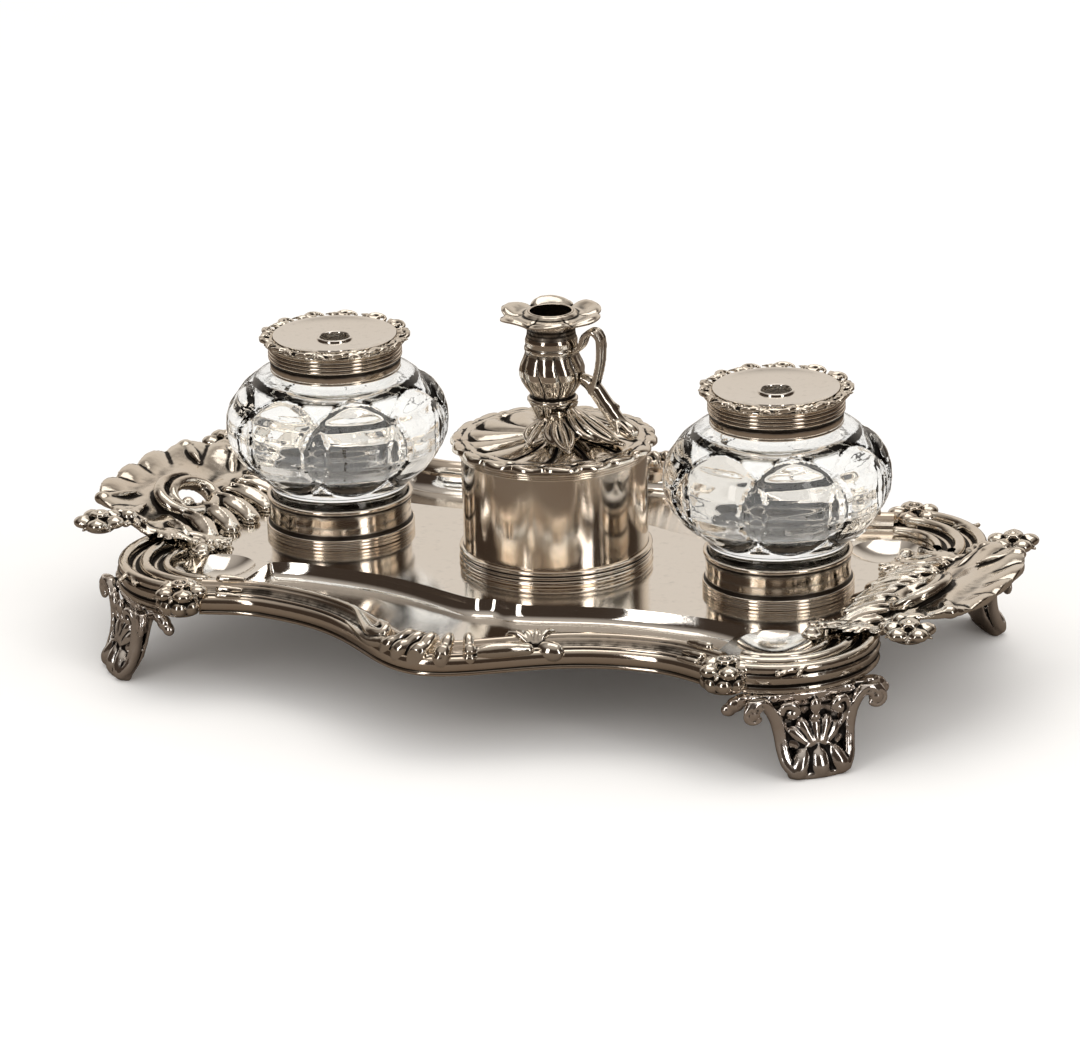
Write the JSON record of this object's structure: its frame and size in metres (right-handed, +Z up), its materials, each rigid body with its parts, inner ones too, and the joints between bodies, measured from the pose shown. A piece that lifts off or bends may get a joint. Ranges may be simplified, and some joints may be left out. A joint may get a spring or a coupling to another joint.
{
  "type": "desk inkstand",
  "caption": "Silver desk inkstand: a serpentine tray on scroll feet with shell handles, cut-glass ink bottles and a wafer box with a taperstick cover.",
  "frame": {"origin": "middle of the bounding box at the ground under the feet", "axes": "+X along the row of bottles to the right, +Y from the front to the back, +Z up"},
  "size_m": [0.3232, 0.2084, 0.1177],
  "materials": {
    "polished_silver": "polished silver with a soft tarnish",
    "cast_silver": "cast and chased silver, dark in the hollows",
    "dark_silver": "tarnished silver",
    "glass": "clear cut glass",
    "plaster": "matt plaster"
  },
  "bodies": {
    "tray": {"tray_plate": "polished_silver", "front_rim": "cast_silver", "back_rim": "cast_silver", "front_left_scroll": "cast_silver", "front_right_scroll": "cast_silver", "back_left_scroll": "cast_silver", "back_right_scroll": "cast_silver", "left_shell_handle": "cast_silver", "right_shell_handle": "cast_silver", "front_left_rosette": "cast_silver", "front_right_rosette": "cast_silver", "back_left_rosette": "cast_silver", "back_right_rosette": "cast_silver", "front_left_foot": "dark_silver", "front_right_foot": "dark_silver", "back_left_foot": "dark_silver", "back_right_foot": "dark_silver", "left_socket": "cast_silver", "right_socket": "cast_silver", "left_socket_stud": "dark_silver", "right_socket_stud": "dark_silver", "left_socket_nut": "dark_silver", "right_socket_nut": "dark_silver", "box_base": "cast_silver", "box_wall": "polished_silver", "box_rim": "cast_silver", "box_stud": "dark_silver", "box_nut": "dark_silver"},
    "left_bottle": {"left_bottle": "glass", "left_collar": "cast_silver", "left_neck_plaster": "plaster"},
    "right_bottle": {"right_bottle": "glass", "right_collar": "cast_silver", "right_neck_plaster": "plaster"},
    "left_lid": {"left_lid_dish": "polished_silver", "left_lid_border": "cast_silver", "left_lid_bezel": "dark_silver"},
    "right_lid": {"right_lid_dish": "polished_silver", "right_lid_border": "cast_silver", "right_lid_bezel": "dark_silver"},
    "taperstick": {"box_lid": "polished_silver", "box_lid_bezel": "dark_silver", "taper_vase": "cast_silver", "taper_handle": "cast_silver"},
    "nozzle": {"nozzle_tube": "cast_silver", "drip_pan": "cast_silver"}
  },
  "joints": [
    {"name": "left_bottle_lift", "type": "slide", "parent": "tray", "child": "left_bottle", "axis": [0, 0, 1], "range_m": [0, 0.04]},
    {"name": "right_bottle_lift", "type": "slide", "parent": "tray", "child": "right_bottle", "axis": [0, 0, 1], "range_m": [0, 0.04]},
    {"name": "left_lid_lift", "type": "slide", "parent": "left_bottle", "child": "left_lid", "axis": [0, 0, 1], "range_m": [0, 0.02]},
    {"name": "right_lid_lift", "type": "slide", "parent": "right_bottle", "child": "right_lid", "axis": [0, 0, 1], "range_m": [0, 0.02]},
    {"name": "cover_lift", "type": "slide", "parent": "tray", "child": "taperstick", "axis": [0, 0, 1], "range_m": [0, 0.035]},
    {"name": "nozzle_lift", "type": "slide", "parent": "taperstick", "child": "nozzle", "axis": [0, 0, 1], "range_m": [0, 0.03]}
  ]
}
